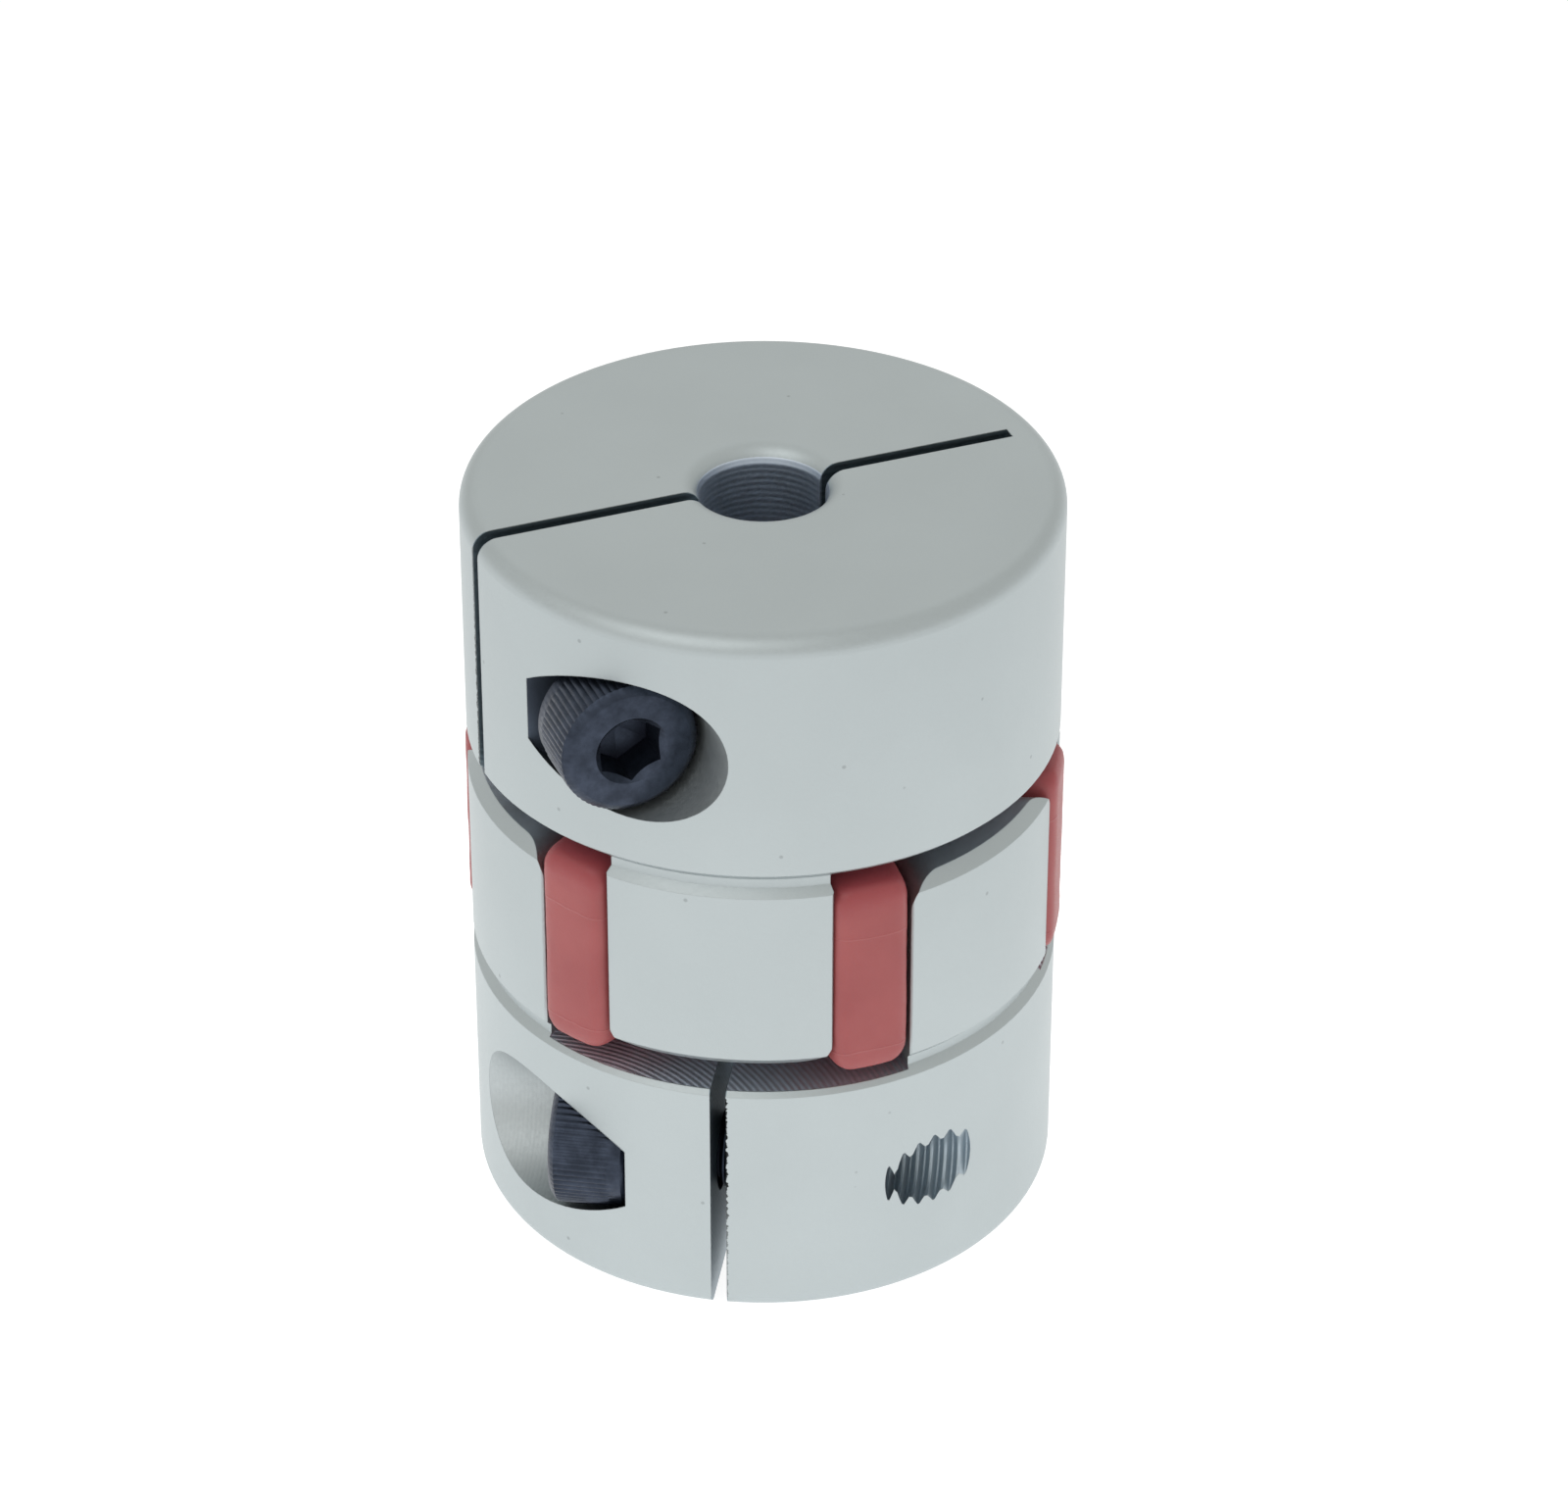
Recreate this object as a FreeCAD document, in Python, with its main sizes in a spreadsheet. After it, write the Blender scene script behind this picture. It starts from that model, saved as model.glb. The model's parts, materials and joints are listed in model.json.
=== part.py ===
import FreeCAD, Part
import math
import os

import Sketcher

# Clamping jaw coupling: two identical slit hubs whose jaws interlock round an elastomer spider, and one
# clamp screw in each hub. Millimetres. The origin is the centre of the coupling, +Z is the shaft axis.
# A hub is drawn with its slit along +X, its screw along Y and its end face at +Z, then placed.

# Driving dimensions. Heights are measured from the coupling's middle plane.
SIZES = {
    # hub
    "hub_radius": 15.0,
    "half_length": 20.0,
    "face_height": 6.4,
    "jaw_reach": 4.9,
    "jaw_inner_radius": 7.35,
    "bore_radius": 3.175,
    "mouth_round": 1.0,
    "bore_chamfer": 0.3,
    "rim_round": 1.0,
    "root_groove_top": 6.65,
    "root_groove_depth": 0.42,
    "root_groove_floor": 0.5,
    "tip_chamfer": 0.6,
    "tip_round": 1.6,
    "jaw_edge_break": 0.1,
    # channels between the jaws of the two hubs, one for each arm of the spider
    "channel_half_outer": 2.05,
    "channel_half_inner": 2.0,
    "flank_radius": 24.0,
    "arm_gap": 0.3,
    # clamp slit and screw
    "slit_width": 0.8,
    "slit_reach": 13.2,
    "screw_offset": 10.75,
    "screw_height": 12.95,
    "pocket_radius": 3.82,
    "seat_distance": 4.9,
    "clearance_radius": 2.15,
    "head_radius": 3.5,
    "head_height": 4.0,
    "head_chamfer": 0.35,
    "head_edge": 0.15,
    "hex_across_flats": 3.0,
    "hex_depth": 2.2,
    "seat_gap": 0.05,
    "upper_turns_out": 2.0,
    "lower_turns_out": 0.0,
    "shank_length": 12.0,
    # thread, as rings of the pitch of M4 with a running clearance
    "thread_pitch": 0.7,
    "screw_major": 1.96,
    "screw_minor": 1.56,
    "thread_past": 0.1,
    "thread_first": 0.97,
    "hole_minor": 1.64,
    "hole_major": 2.04,
    "thread_crest": 0.0875,
    "screw_tip_chamfer": 0.4,
    # spider
    "spider_radius": 15.25,
    "spider_half_height": 5.4,
    "ring_outer_radius": 7.15,
    "ring_inner_radius": 5.2,
    "arm_end_radial": 0.35,
    "arm_end_axial": 1.1,
}

JAWS = 3
ARMS = 6
ARM_ANGLE = 30
HUB_CLOCKING = -30
CUT_PAST = 1.0
THREAD_FLANK = "tan(30)"
TOLERANCE = 1e-3
SCREW_RINGS = 16
HOLE_RINGS = 17
RINGS_BEFORE_HOLE = 6

doc = FreeCAD.newDocument("jaw_coupling")
sheet = doc.addObject("Spreadsheet::Sheet", "Sizes")
for row, (alias, value) in enumerate(SIZES.items(), start=1):
    sheet.set("A%d" % row, alias)
    sheet.set("B%d" % row, str(value))
    sheet.setAlias("B%d" % row, alias)
doc.recompute()


def size(expression):
    """An expression on the sheet's aliases, as FreeCAD reads it."""
    for alias in sorted(SIZES, key=len, reverse=True):
        expression = expression.replace("$" + alias, "Sizes." + alias)
    return expression


def value_of(expression):
    """The number that an expression gives."""
    result = sheet.evalExpression(size(expression))
    return float(getattr(result, "Value", result))


def turned(along, across, angle):
    """Expressions for a point given along and across a direction at this angle in degrees."""
    cosine, sine = math.cos(math.radians(angle)), math.sin(math.radians(angle))
    return (
        "(%s) * %.9f - (%s) * %.9f" % (along, cosine, across, sine),
        "(%s) * %.9f + (%s) * %.9f" % (along, sine, across, cosine),
    )


def new_body(name):
    body = doc.addObject("PartDesign::Body", name)
    body.Label = name
    return body


def origin_feature(body, role):
    return next(item for item in body.Origin.OriginFeatures if item.Role == role)


def new_sketch(body, name, plane, shift=None):
    """A sketch on one of the body's origin planes; shift maps "x", "y" or "z" to an expression."""
    sketch = body.newObject("Sketcher::SketchObject", name)
    sketch.AttachmentSupport = (origin_feature(body, plane), [""])
    sketch.MapMode = "FlatFace"
    for axis, expression in (shift or {}).items():
        sketch.setExpression(".AttachmentOffset.Base.%s" % axis, size(expression))
    return sketch


def bind(sketch, kind, arguments, expression):
    """A dimension of a sketch, bound to an expression on the sheet."""
    number = sketch.addConstraint(Sketcher.Constraint(kind, *arguments, value_of(expression)))
    sketch.setExpression("Constraints[%d]" % number, size(expression))


def place_point(sketch, edge, end, point):
    """Hold one end of an edge at a pair of expressions, on an axis where a coordinate is zero."""
    for kind, axis, expression in (("DistanceX", -2, point[0]), ("DistanceY", -1, point[1])):
        if abs(value_of(expression)) < TOLERANCE:
            sketch.addConstraint(Sketcher.Constraint("PointOnObject", edge, end, axis))
        else:
            bind(sketch, kind, (-1, 1, edge, end), expression)


def draw_outline(sketch, corners, arcs=None):
    """A closed outline through corners, which are pairs of expressions.

    arcs maps the number of an edge to (radius, side): the edge from that corner to the next is then an
    arc of that radius. side is 1 where its centre lies to the left of the way the outline runs, else -1.
    """
    arcs = arcs or {}
    points = [FreeCAD.Vector(value_of(x), value_of(y), 0) for x, y in corners]
    count = len(points)
    for i, start in enumerate(points):
        end = points[(i + 1) % count]
        if i not in arcs:
            sketch.addGeometry(Part.LineSegment(start, end), False)
            continue
        radius, side = value_of(arcs[i][0]), arcs[i][1]
        chord = end - start
        left = FreeCAD.Vector(-chord.y, chord.x, 0).normalize()
        height = math.sqrt(radius ** 2 - chord.Length ** 2 / 4)
        centre = (start + end) / 2 + left * (side * height)
        middle = centre - left * (side * radius)
        sketch.addGeometry(Part.Arc(start, middle, end), False)
    starts = []
    ends = []
    for i in range(count):
        backwards = i in arcs and (sketch.getPoint(i, 1) - points[i]).Length > TOLERANCE
        starts.append(2 if backwards else 1)
        ends.append(1 if backwards else 2)
    for i in range(count):
        following = (i + 1) % count
        sketch.addConstraint(Sketcher.Constraint("Coincident", i, ends[i], following, starts[following]))
        place_point(sketch, i, starts[i], corners[i])
        if i in arcs:
            bind(sketch, "Radius", (i,), arcs[i][0])


def draw_circle(sketch, radius):
    circle = Part.Circle(FreeCAD.Vector(0, 0, 0), FreeCAD.Vector(0, 0, 1), value_of(radius))
    edge = sketch.addGeometry(circle, False)
    sketch.addConstraint(Sketcher.Constraint("Coincident", edge, 3, -1, 1))
    bind(sketch, "Radius", (edge,), radius)


def recompute_checked(body, before, name, cuts):
    """Recompute, and stop if the feature named left the solid's volume unchanged."""
    doc.recompute()
    after = body.Shape.Volume
    if (cuts and after > before - TOLERANCE) or (not cuts and after < before + TOLERANCE):
        raise RuntimeError("%s changed nothing: %.4f to %.4f" % (name, before, after))


def revolve(body, name, sketch, axis, cuts=False):
    before = 0.0 if body.Shape.isNull() else body.Shape.Volume
    feature = body.newObject("PartDesign::Groove" if cuts else "PartDesign::Revolution", name)
    feature.Profile = sketch
    feature.ReferenceAxis = (sketch, [axis])
    feature.Angle = 360.0
    recompute_checked(body, before, name, cuts)
    return feature


def extrude(body, name, sketch, length, cuts=False, midplane=False, backwards=False):
    """A pad along the sketch's normal, or a pocket against it, or the other way if backwards."""
    before = 0.0 if body.Shape.isNull() else body.Shape.Volume
    feature = body.newObject("PartDesign::Pocket" if cuts else "PartDesign::Pad", name)
    feature.Profile = sketch
    feature.setExpression("Length", size(length))
    feature.Midplane = midplane
    feature.Reversed = backwards
    recompute_checked(body, before, name, cuts)
    return feature


def pattern(body, kind, name, feature, axis, cuts, **settings):
    before = body.Shape.Volume
    copies = body.newObject("PartDesign::" + kind, name)
    copies.Originals = [feature]
    setattr(copies, "Axis" if kind == "PolarPattern" else "Direction", axis)
    for setting, value in settings.items():
        setattr(copies, setting, value)
    body.Tip = copies
    recompute_checked(body, before, name, cuts)
    return copies


def round_edges(body, name, radius, wanted):
    """Fillet every edge of the body's solid for which wanted(edge) is true."""
    base = body.Tip
    names = ["Edge%d" % i for i, edge in enumerate(base.Shape.Edges, start=1) if wanted(edge)]
    if not names:
        raise RuntimeError("no edge for " + name)
    before = base.Shape.Volume
    fillet = body.newObject("PartDesign::Fillet", name)
    fillet.Base = (base, names)
    fillet.setExpression("Radius", size(radius))
    recompute_checked(body, before, name, True)


def cut_thread(body, prefix, shift, first, root, root_half, mouth, count):
    """Cut count V rings round a sketch's H axis, one pitch apart, towards the axis's start.

    first is the place of the first ring's middle, root the radius of its narrow floor, root_half half
    the floor's width, and mouth a radius just past the wall that the ring is cut in.
    """
    sketch = new_sketch(body, prefix + "_ring_sketch", "YZ_Plane", shift)
    outwards = value_of(mouth) > value_of(root)
    depth = "((%s) - (%s))" % ((mouth, root) if outwards else (root, mouth))
    mouth_half = "(%s + %s * %s)" % (root_half, depth, THREAD_FLANK)
    corners = [
        ("%s - (%s)" % (first, root_half), root),
        ("%s + (%s)" % (first, root_half), root),
        ("%s + %s" % (first, mouth_half), mouth),
        ("%s - %s" % (first, mouth_half), mouth),
    ]
    draw_outline(sketch, corners)
    ring = revolve(body, prefix + "_ring", sketch, "H_Axis", cuts=True)
    length = SIZES["thread_pitch"] * (count - 1)
    axis = (sketch, ["H_Axis"])
    settings = {"Length": length, "Occurrences": count, "Reversed": True}
    pattern(body, "LinearPattern", prefix + "_rings", ring, axis, True, **settings)


def make_hub(name):
    """A clamp hub, drawn with its slit along +X and its screw entering from +Y."""
    body = new_body(name)
    axis_z = (origin_feature(body, "Z_Axis"), [""])

    # Solid of revolution: clamp body with its bore, root groove, and the ring that the jaws are left from.
    section = new_sketch(body, name + "_section", "XZ_Plane")
    groove_bottom = "$root_groove_top - 2 * $root_groove_depth - $root_groove_floor"
    corners = [
        ("$bore_radius", "$face_height + $bore_chamfer"),
        ("$bore_radius", "$half_length - $mouth_round"),
        ("$bore_radius + $mouth_round", "$half_length"),
        ("$hub_radius - $rim_round", "$half_length"),
        ("$hub_radius", "$half_length - $rim_round"),
        ("$hub_radius", "$root_groove_top"),
        ("$hub_radius - $root_groove_depth", "$root_groove_top - $root_groove_depth"),
        ("$hub_radius - $root_groove_depth", groove_bottom + " + $root_groove_depth"),
        ("$hub_radius", groove_bottom),
        ("$hub_radius", "-$jaw_reach"),
        ("$jaw_inner_radius", "-$jaw_reach"),
        ("$jaw_inner_radius", "$face_height"),
        ("$bore_radius + $bore_chamfer", "$face_height"),
    ]
    draw_outline(section, corners, {1: ("$mouth_round", -1), 3: ("$rim_round", -1)})
    revolve(body, name + "_turned", section, "V_Axis")

    # One gap between two jaws, milled down to the face with the jaws' outer edges broken, and its copies.
    gap_sketch = new_sketch(body, name + "_gap_sketch", "XY_Plane", {"z": "$face_height"})
    past = "$hub_radius + %g" % CUT_PAST
    inner = "sqrt($jaw_inner_radius ^ 2 - $channel_half_inner ^ 2) - $arm_gap"
    mouth_half = "($channel_half_outer + $jaw_edge_break)"
    edge_start = "sqrt($hub_radius ^ 2 - %s ^ 2) - $jaw_edge_break" % mouth_half
    edge_end = "sqrt($hub_radius ^ 2 - %s ^ 2)" % mouth_half
    corners = [
        turned(inner, "-$channel_half_inner", -ARM_ANGLE),
        turned(edge_start, "-$channel_half_outer", -ARM_ANGLE),
        turned(edge_end, "-" + mouth_half, -ARM_ANGLE),
        turned(past, "-" + mouth_half, -ARM_ANGLE),
        ("$hub_radius + 4 * %g" % CUT_PAST, "0"),
        turned(past, mouth_half, ARM_ANGLE),
        turned(edge_end, mouth_half, ARM_ANGLE),
        turned(edge_start, "$channel_half_outer", ARM_ANGLE),
        turned(inner, "$channel_half_inner", ARM_ANGLE),
        ("0", "0"),
    ]
    draw_outline(gap_sketch, corners, {0: ("$flank_radius", 1), 7: ("$flank_radius", 1)})
    gap = extrude(body, name + "_gap", gap_sketch, "$face_height + $jaw_reach + %g" % CUT_PAST, cuts=True)
    pattern(body, "PolarPattern", name + "_gaps", gap, axis_z, True, Angle=360.0, Occurrences=JAWS)

    # Rounded corners at both sides of each jaw's tip, then the chamfer round the tips.
    def beside_tip(edge):
        box = edge.BoundBox
        flat = box.ZLength < TOLERANCE and abs(box.ZMin + SIZES["jaw_reach"]) < TOLERANCE
        radii = [math.hypot(vertex.X, vertex.Y) for vertex in edge.Vertexes]
        return flat and max(radii) - min(radii) > 1.0

    round_edges(body, name + "_tip_rounds", "$tip_round", beside_tip)
    tip_sketch = new_sketch(body, name + "_tip_sketch", "XZ_Plane")
    corners = [
        ("$hub_radius + %g" % CUT_PAST, "-$jaw_reach - %g" % CUT_PAST),
        ("$hub_radius + %g" % CUT_PAST, "-$jaw_reach + $tip_chamfer + %g" % CUT_PAST),
        ("$hub_radius - $tip_chamfer - %g" % CUT_PAST, "-$jaw_reach - %g" % CUT_PAST),
    ]
    draw_outline(tip_sketch, corners)
    revolve(body, name + "_tip_chamfer", tip_sketch, "V_Axis", cuts=True)

    # Clamp slit: open at the outside on the screw's side, past the bore, and blind on the far side.
    slit_sketch = new_sketch(body, name + "_slit_sketch", "XY_Plane", {"z": "$half_length"})
    corners = [
        ("-$slit_reach", "-$slit_width / 2"),
        ("$hub_radius + %g" % CUT_PAST, "-$slit_width / 2"),
        ("$hub_radius + %g" % CUT_PAST, "$slit_width / 2"),
        ("-$slit_reach", "$slit_width / 2"),
    ]
    draw_outline(slit_sketch, corners)
    extrude(body, name + "_slit", slit_sketch, "$half_length - $face_height", cuts=True)

    # Screw pocket and clearance hole from +Y; the XZ plane's normal is -Y, and so is its offset.
    across = {"x": "$screw_offset", "y": "$screw_height"}
    pocket_sketch = new_sketch(body, name + "_pocket_sketch", "XZ_Plane", {**across, "z": "-$seat_distance"})
    draw_circle(pocket_sketch, "$pocket_radius")
    extrude(body, name + "_pocket", pocket_sketch, "$hub_radius", cuts=True)
    hole_sketch = new_sketch(body, name + "_hole_sketch", "XZ_Plane", across)
    draw_circle(hole_sketch, "$clearance_radius")
    extrude(body, name + "_hole", hole_sketch, "$hub_radius", cuts=True)

    # Threaded hole on the -Y side, right through, with its rings where the screw's ridges come.
    drill_sketch = new_sketch(body, name + "_drill_sketch", "XZ_Plane", {**across, "z": "$hub_radius"})
    draw_circle(drill_sketch, "$hole_minor")
    extrude(body, name + "_drill", drill_sketch, "$hub_radius", cuts=True)
    ridge = "$seat_distance + $seat_gap - $thread_first - %g * $thread_pitch" % (RINGS_BEFORE_HOLE + 0.5)
    along = {"y": "$screw_height", "z": "$screw_offset"}
    mouth = "$hole_minor - $thread_past"
    cut_thread(body, name + "_thread", along, ridge, "$hole_major", "$thread_crest / 2", mouth, HOLE_RINGS)
    return body


def make_screw(name):
    """A socket head cap screw, drawn along Y with its head at +Y and its seat at the origin."""
    body = new_body(name)
    section = new_sketch(body, name + "_section", "YZ_Plane")
    corners = [
        ("-$shank_length", "0"),
        ("-$shank_length", "$screw_major - $screw_tip_chamfer"),
        ("-$shank_length + $screw_tip_chamfer", "$screw_major"),
        ("0", "$screw_major"),
        ("0", "$head_radius - $head_edge"),
        ("$head_edge", "$head_radius"),
        ("$head_height - $head_chamfer", "$head_radius"),
        ("$head_height", "$head_radius - $head_chamfer"),
        ("$head_height", "0"),
    ]
    draw_outline(section, corners)
    revolve(body, name + "_turned", section, "H_Axis")
    floor_half = "($thread_pitch - $thread_crest) / 2 - ($screw_major - $screw_minor) * " + THREAD_FLANK
    mouth = "$screw_major + $thread_past"
    cut_thread(body, name + "_thread", None, "-$thread_first", "$screw_minor", floor_half, mouth, SCREW_RINGS)
    socket = new_sketch(body, name + "_socket_sketch", "XZ_Plane", {"z": "-$head_height"})
    corner = "$hex_across_flats / sqrt(3)"
    draw_outline(socket, [turned(corner, "0", 60 * i) for i in range(6)])
    extrude(body, name + "_socket", socket, "$hex_depth", cuts=True, backwards=True)
    return body


def make_spider(name):
    """The elastomer star: a centre ring with six crowned arms, one along +X."""
    body = new_body(name)
    axis_z = (origin_feature(body, "Z_Axis"), [""])
    ring = new_sketch(body, name + "_ring_sketch", "XY_Plane")
    draw_circle(ring, "$ring_outer_radius")
    draw_circle(ring, "$ring_inner_radius")
    extrude(body, name + "_ring", ring, "2 * $spider_half_height", midplane=True)

    arm_sketch = new_sketch(body, name + "_arm_sketch", "XY_Plane")
    inner = "sqrt($ring_outer_radius ^ 2 - ($channel_half_inner - $arm_gap) ^ 2) - $arm_gap"
    outer = "sqrt($spider_radius ^ 2 - ($channel_half_outer - $arm_gap) ^ 2)"
    half_inner = "$channel_half_inner - $arm_gap"
    half_outer = "$channel_half_outer - $arm_gap"
    corners = [
        (inner, "-(%s)" % half_inner),
        (outer, "-(%s)" % half_outer),
        (outer, half_outer),
        (inner, half_inner),
    ]
    flank = "$flank_radius - $arm_gap"
    draw_outline(arm_sketch, corners, {0: (flank, 1), 1: ("$spider_radius", 1), 2: (flank, 1)})
    arm = extrude(body, name + "_arm", arm_sketch, "2 * $spider_half_height", midplane=True)
    pattern(body, "PolarPattern", name + "_arms", arm, axis_z, False, Angle=360.0, Occurrences=ARMS)

    # Sloping ends of the arms, above and below.
    for side, sign in (("top", ""), ("bottom", "-")):
        sketch = new_sketch(body, "%s_%s_sketch" % (name, side), "XZ_Plane")
        corners = [
            ("$spider_radius - $arm_end_radial", sign + "$spider_half_height"),
            ("$spider_radius", sign + "($spider_half_height - $arm_end_axial)"),
            ("$spider_radius + $arm_end_radial", sign + "($spider_half_height - $arm_end_axial)"),
            ("$spider_radius + $arm_end_radial", sign + "($spider_half_height + $arm_end_axial)"),
            ("$spider_radius - $arm_end_radial", sign + "($spider_half_height + $arm_end_axial)"),
        ]
        draw_outline(sketch, corners)
        revolve(body, "%s_%s_slope" % (name, side), sketch, "V_Axis", cuts=True)
    return body


def turn(axis, angle):
    return FreeCAD.Placement(FreeCAD.Vector(0, 0, 0), FreeCAD.Rotation(axis, angle))


X_WAY = FreeCAD.Vector(1, 0, 0)
Z_WAY = FreeCAD.Vector(0, 0, 1)
PLACES = {
    "upper": turn(Z_WAY, HUB_CLOCKING),
    "lower": turn(X_WAY, 180).multiply(turn(Z_WAY, HUB_CLOCKING)),
}
parts = [make_spider("spider")]
for side, place in PLACES.items():
    hub = make_hub(side + "_hub")
    hub.Placement = place
    screw = make_screw(side + "_clamp_screw")
    # Whole turns off its seat, so that its thread still meets the hub's rings.
    under_head = "$seat_distance + $seat_gap + $%s_turns_out * $thread_pitch" % side
    seat = FreeCAD.Vector(*(value_of(way) for way in ("$screw_offset", under_head, "$screw_height")))
    screw.Placement = place.multiply(FreeCAD.Placement(seat, FreeCAD.Rotation()))
    parts += [hub, screw]
doc.recompute()

failed = [item.Name for item in doc.Objects if "Invalid" in item.State or "Error" in item.State]
if failed:
    raise RuntimeError("failed objects: " + ", ".join(failed))
for part in parts:
    if part.Shape.isNull() or not part.Shape.isValid() or len(part.Shape.Solids) != 1:
        raise RuntimeError("bad shape: " + part.Label)
os.makedirs("parts", exist_ok=True)
for part in parts:
    part.Shape.exportStep("parts/%s.step" % part.Label)
    print("%-18s %9.2f mm3" % (part.Label, part.Shape.Volume))
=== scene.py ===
import json
import math

import bmesh
import bpy
from mathutils import Matrix, Vector, noise


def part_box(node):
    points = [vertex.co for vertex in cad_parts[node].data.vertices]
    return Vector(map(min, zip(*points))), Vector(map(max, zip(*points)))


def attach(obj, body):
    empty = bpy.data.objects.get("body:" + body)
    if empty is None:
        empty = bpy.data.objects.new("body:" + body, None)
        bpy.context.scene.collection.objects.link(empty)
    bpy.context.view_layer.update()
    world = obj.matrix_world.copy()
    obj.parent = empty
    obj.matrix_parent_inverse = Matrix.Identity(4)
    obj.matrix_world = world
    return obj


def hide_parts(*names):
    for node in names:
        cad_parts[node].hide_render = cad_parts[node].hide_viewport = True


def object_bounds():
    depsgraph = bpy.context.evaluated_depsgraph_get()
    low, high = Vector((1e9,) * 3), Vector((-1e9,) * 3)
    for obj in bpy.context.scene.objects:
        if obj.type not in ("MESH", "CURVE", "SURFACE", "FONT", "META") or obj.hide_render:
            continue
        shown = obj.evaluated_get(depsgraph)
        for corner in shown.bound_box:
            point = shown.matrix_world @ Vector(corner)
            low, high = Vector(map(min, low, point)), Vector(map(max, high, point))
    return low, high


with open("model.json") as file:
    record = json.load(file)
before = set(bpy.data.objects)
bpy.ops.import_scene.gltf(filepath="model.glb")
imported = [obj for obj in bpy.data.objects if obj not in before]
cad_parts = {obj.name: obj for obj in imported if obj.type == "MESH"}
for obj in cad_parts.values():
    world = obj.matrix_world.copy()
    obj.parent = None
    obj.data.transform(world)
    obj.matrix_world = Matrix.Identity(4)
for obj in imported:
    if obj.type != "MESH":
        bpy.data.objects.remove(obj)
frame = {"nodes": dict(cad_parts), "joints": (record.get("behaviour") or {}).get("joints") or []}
cad_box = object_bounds()

# Clamping jaw coupling. Metres, shaft axis along Z, origin in the middle of the coupling.
MM = 0.001
JOINTS = {joint["name"]: joint for joint in frame["joints"]}
SIDES = ("upper", "lower")

# Camera: the photograph's viewing angle, and how far its middle lies from the coupling's centre.
# The lens is a focal length in millimetres.
CAMERA_AZIMUTH = math.radians(128.7)
CAMERA_ELEVATION = math.radians(32.9)
CAMERA_DISTANCE = 0.2919
CAMERA_LENS = 131.1
CAMERA_RIGHT = 1.03 * MM
CAMERA_UP = 3.88 * MM
CAMERA_CLIP = 0.01

# Light: an even grey world, two soft boxes, and a glowing floor whose emission is a painted pool of
# light, brightest near the coupling and fading between two distances in millimetres.
WORLD_LIGHT = (0.745, 0.74, 0.715, 1.0)
SOFTBOX_SIDE = 1.3
SOFTBOX_DISTANCE = 1.6
FLOOR_HALF = 2.5
FLOOR_COLOURS = ((0.40, 0.403, 0.406, 1.0), (0.44, 0.443, 0.446, 1.0))
# The floor's glow is painted light, strongest near the coupling.
FLOOR_PAINTED_GLOW = (0.90, 0.65)
FLOOR_PAINTED_GLOW_FADE = (32.0, 110.0)

# Hub, as in the CAD model: where its machined surfaces are, in millimetres.
HUB_RADIUS = 15.0
HALF_LENGTH = 20.0
FACE_HEIGHT = 6.4
BORE_RADIUS = 3.175
SLIT_HALF_WIDTH = 0.4
SLIT_REACH = 13.2
SCREW_OFFSET = 10.75
SCREW_HEIGHT = 12.95
POCKET_RADIUS = 3.82
SEAT_DISTANCE = 4.9
CLEARANCE_RADIUS = 2.15

# The turn about the origin that brings each hub to the frame of the numbers above.
HUB_CLOCKING = math.radians(30)
HUB_TURNS = {"upper": (0.0, 0.0, HUB_CLOCKING), "lower": (math.pi, 0.0, HUB_CLOCKING)}

# How far the masks of the hub's surfaces reach past them, or stop short of an edge, in millimetres.
SKIN_MARGIN = 0.03
BORE_MARGIN = 0.12
SLIT_MARGIN = 0.04
SLIT_END_MARGIN = 0.05
FACE_MARGIN = 0.04
FACE_EDGE = 0.3
POCKET_MARGIN = 0.03
SEAT_MARGIN = 0.1
HOLE_MARGIN = 0.06

# Looks of the hub. Colours are linear; lengths are in millimetres unless multiplied by MM.
SKIN_GREYS = (0.495, 0.560)
SKIN_DRIFT = (-0.16, 0.16)
SKIN_GRAIN = (-0.24, 0.24)
SPECK_GREY = 0.16
SPECK_SCALE = 0.42
SPECK_EDGE = (0.03, 0.055)
SPECK_STRENGTH = 0.35
TORN_WIDTH = 0.22
# The torn edge's greys are painted shade of a gap beside the slit, near black and greying towards the
# hub's end.
TORN_GAP_SHADE_GREYS = (0.02, 0.30)
TORN_GAP_SHADE_FADE = (12.0, 17.0)
# The slit's dark colour is painted shade of the narrow slit, darker than the other cut surfaces.
SLIT_SHADE_COLOUR = (0.27, 0.34, 0.38, 1.0)
BORE_COLOUR = (0.66, 0.73, 0.82, 1.0)
FACE_COLOUR = (0.65, 0.71, 0.81, 1.0)
THREAD_COLOUR = (0.43, 0.50, 0.55, 1.0)
POCKET_COLOUR = (0.50, 0.54, 0.55, 1.0)
# Painted shade in the screw pocket: darkest at the seat, fading out between two distances along the
# screw.
POCKET_SHADE_COLOUR = (0.13, 0.16, 0.21, 1.0)
POCKET_SHADE_FADE = (SEAT_DISTANCE, 8.4)
SKIN_ROUGHNESS = (0.42, 0.54)
TURNED_ROUGHNESS = (0.34, 0.44)
MILLED_ROUGHNESS = (0.48, 0.60)
TURNING_PITCH = 0.34
DRILLING_PITCH = 0.22
MILLING_PITCH = 0.32
MILLING_CENTRE = (22.0, 8.6)
TURNING_DEPTH = 0.5
DRILLING_DEPTH = 0.1
MILLING_DEPTH = 2.0
MARK_RELIEF = 0.010 * MM
GRAIN_RELIEF = 0.012 * MM
EDGE_RADIUS = 0.07 * MM

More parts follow.
